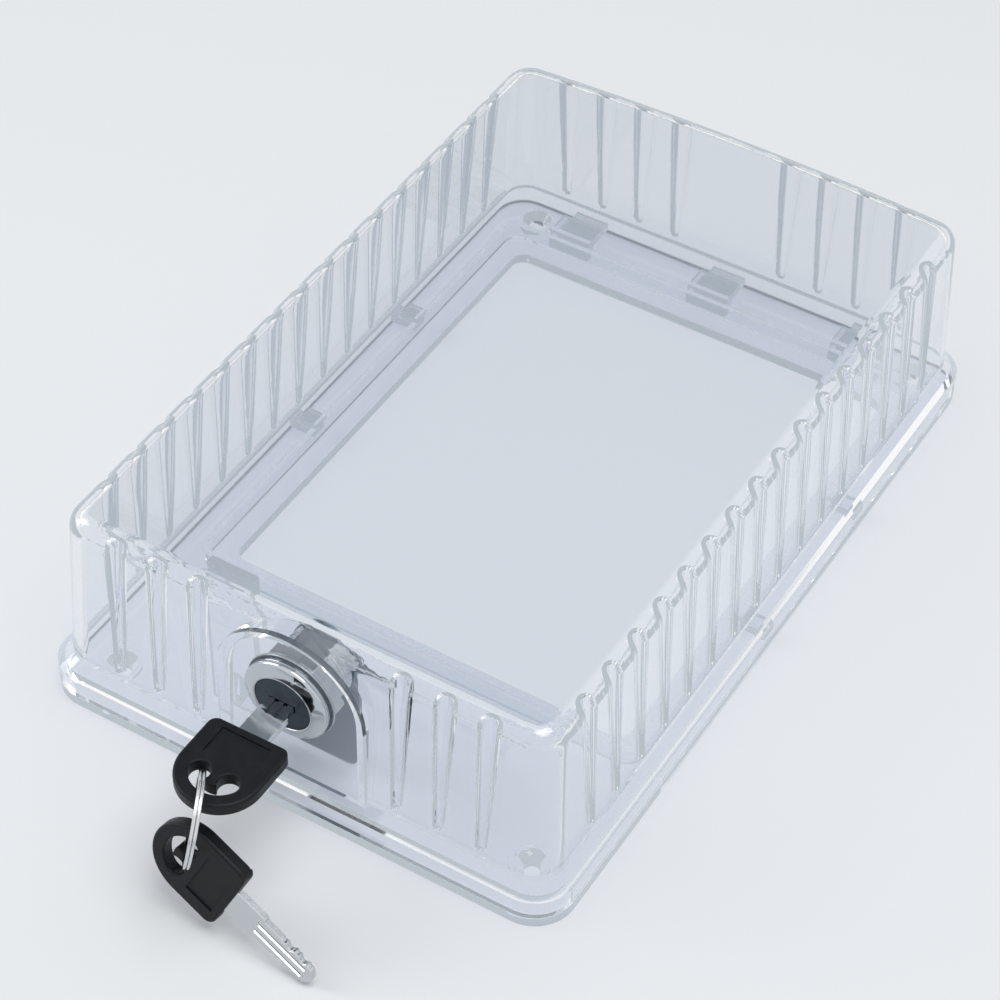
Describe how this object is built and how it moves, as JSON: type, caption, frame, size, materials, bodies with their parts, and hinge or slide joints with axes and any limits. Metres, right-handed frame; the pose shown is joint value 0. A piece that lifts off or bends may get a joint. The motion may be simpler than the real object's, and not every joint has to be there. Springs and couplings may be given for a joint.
{
  "type": "thermostat lock box",
  "caption": "Clear fluted plastic guard box for a wall thermostat, with a screw-down base frame, a slide-on cover, a cam lock and spare key on a split ring.",
  "frame": {"origin": "centre of the base's back face, the face that lies on the wall", "axes": "+Z away from the wall, +Y along the long side from the lock wall to the hook wall, +X across"},
  "size_m": [0.153, 0.2808, 0.0605],
  "materials": {
    "clear_cover": "clear polycarbonate, glossy",
    "clear_base": "clear polycarbonate, glossy",
    "chrome_plate": "bright nickel-chrome plate",
    "zinc_steel": "zinc plated",
    "plug_dark": "dark grey satin",
    "cam_steel": "zinc plated, satin",
    "wafer_brass": "stamped",
    "spring_steel": "drawn wire",
    "nickel_blade": "nickel plated",
    "black_plastic": "moulded, fine grain",
    "ring_steel": "nickel plated wire"
  },
  "bodies": {
    "base": {"base": "clear_base"},
    "cover": {"cover": "clear_cover", "lock_body": "chrome_plate", "lock_nut": "chrome_plate", "lock_washer": "zinc_steel"},
    "plug": {"lock_plug": "plug_dark", "wafer_1": "wafer_brass", "wafer_2": "wafer_brass", "wafer_3": "wafer_brass", "wafer_4": "wafer_brass", "wafer_5": "wafer_brass", "wafer_spring_1": "spring_steel", "wafer_spring_2": "spring_steel", "wafer_spring_3": "spring_steel", "wafer_spring_4": "spring_steel", "wafer_spring_5": "spring_steel", "stop_washer": "zinc_steel", "cam": "cam_steel", "cam_washer": "zinc_steel", "cam_screw": "zinc_steel"},
    "key_1": {"key_1_blade": "nickel_blade", "key_1_bow": "black_plastic"},
    "ring": {"key_ring": "ring_steel"},
    "key_2": {"key_2_blade": "nickel_blade", "key_2_bow": "black_plastic"}
  },
  "joints": [
    {"name": "cover_slide", "type": "slide", "parent": "base", "child": "cover", "axis": [0, 1, 0], "range_m": [0, 0.006]},
    {"name": "plug_turn", "type": "hinge", "parent": "cover", "child": "plug", "pos_m": [0, -0.1139, 0.0397], "axis": [0, 1, 0], "range_deg": [0, 90]},
    {"name": "key_1_pull", "type": "slide", "parent": "plug", "child": "key_1", "axis": [0, -1, 0], "range_m": [0, 0.018]},
    {"name": "ring_swing", "type": "hinge", "parent": "key_1", "child": "ring", "pos_m": [-0.00425, -0.14374, 0.0397], "axis": [0.3838, -0.3498, 0.8546], "range_deg": [-2, 20]},
    {"name": "key_2_swing", "type": "hinge", "parent": "ring", "child": "key_2", "pos_m": [-0.00286, -0.15291, 0.02278], "axis": [-0.4639, 0.8777, 0.12], "range_deg": [-40, 0]}
  ]
}
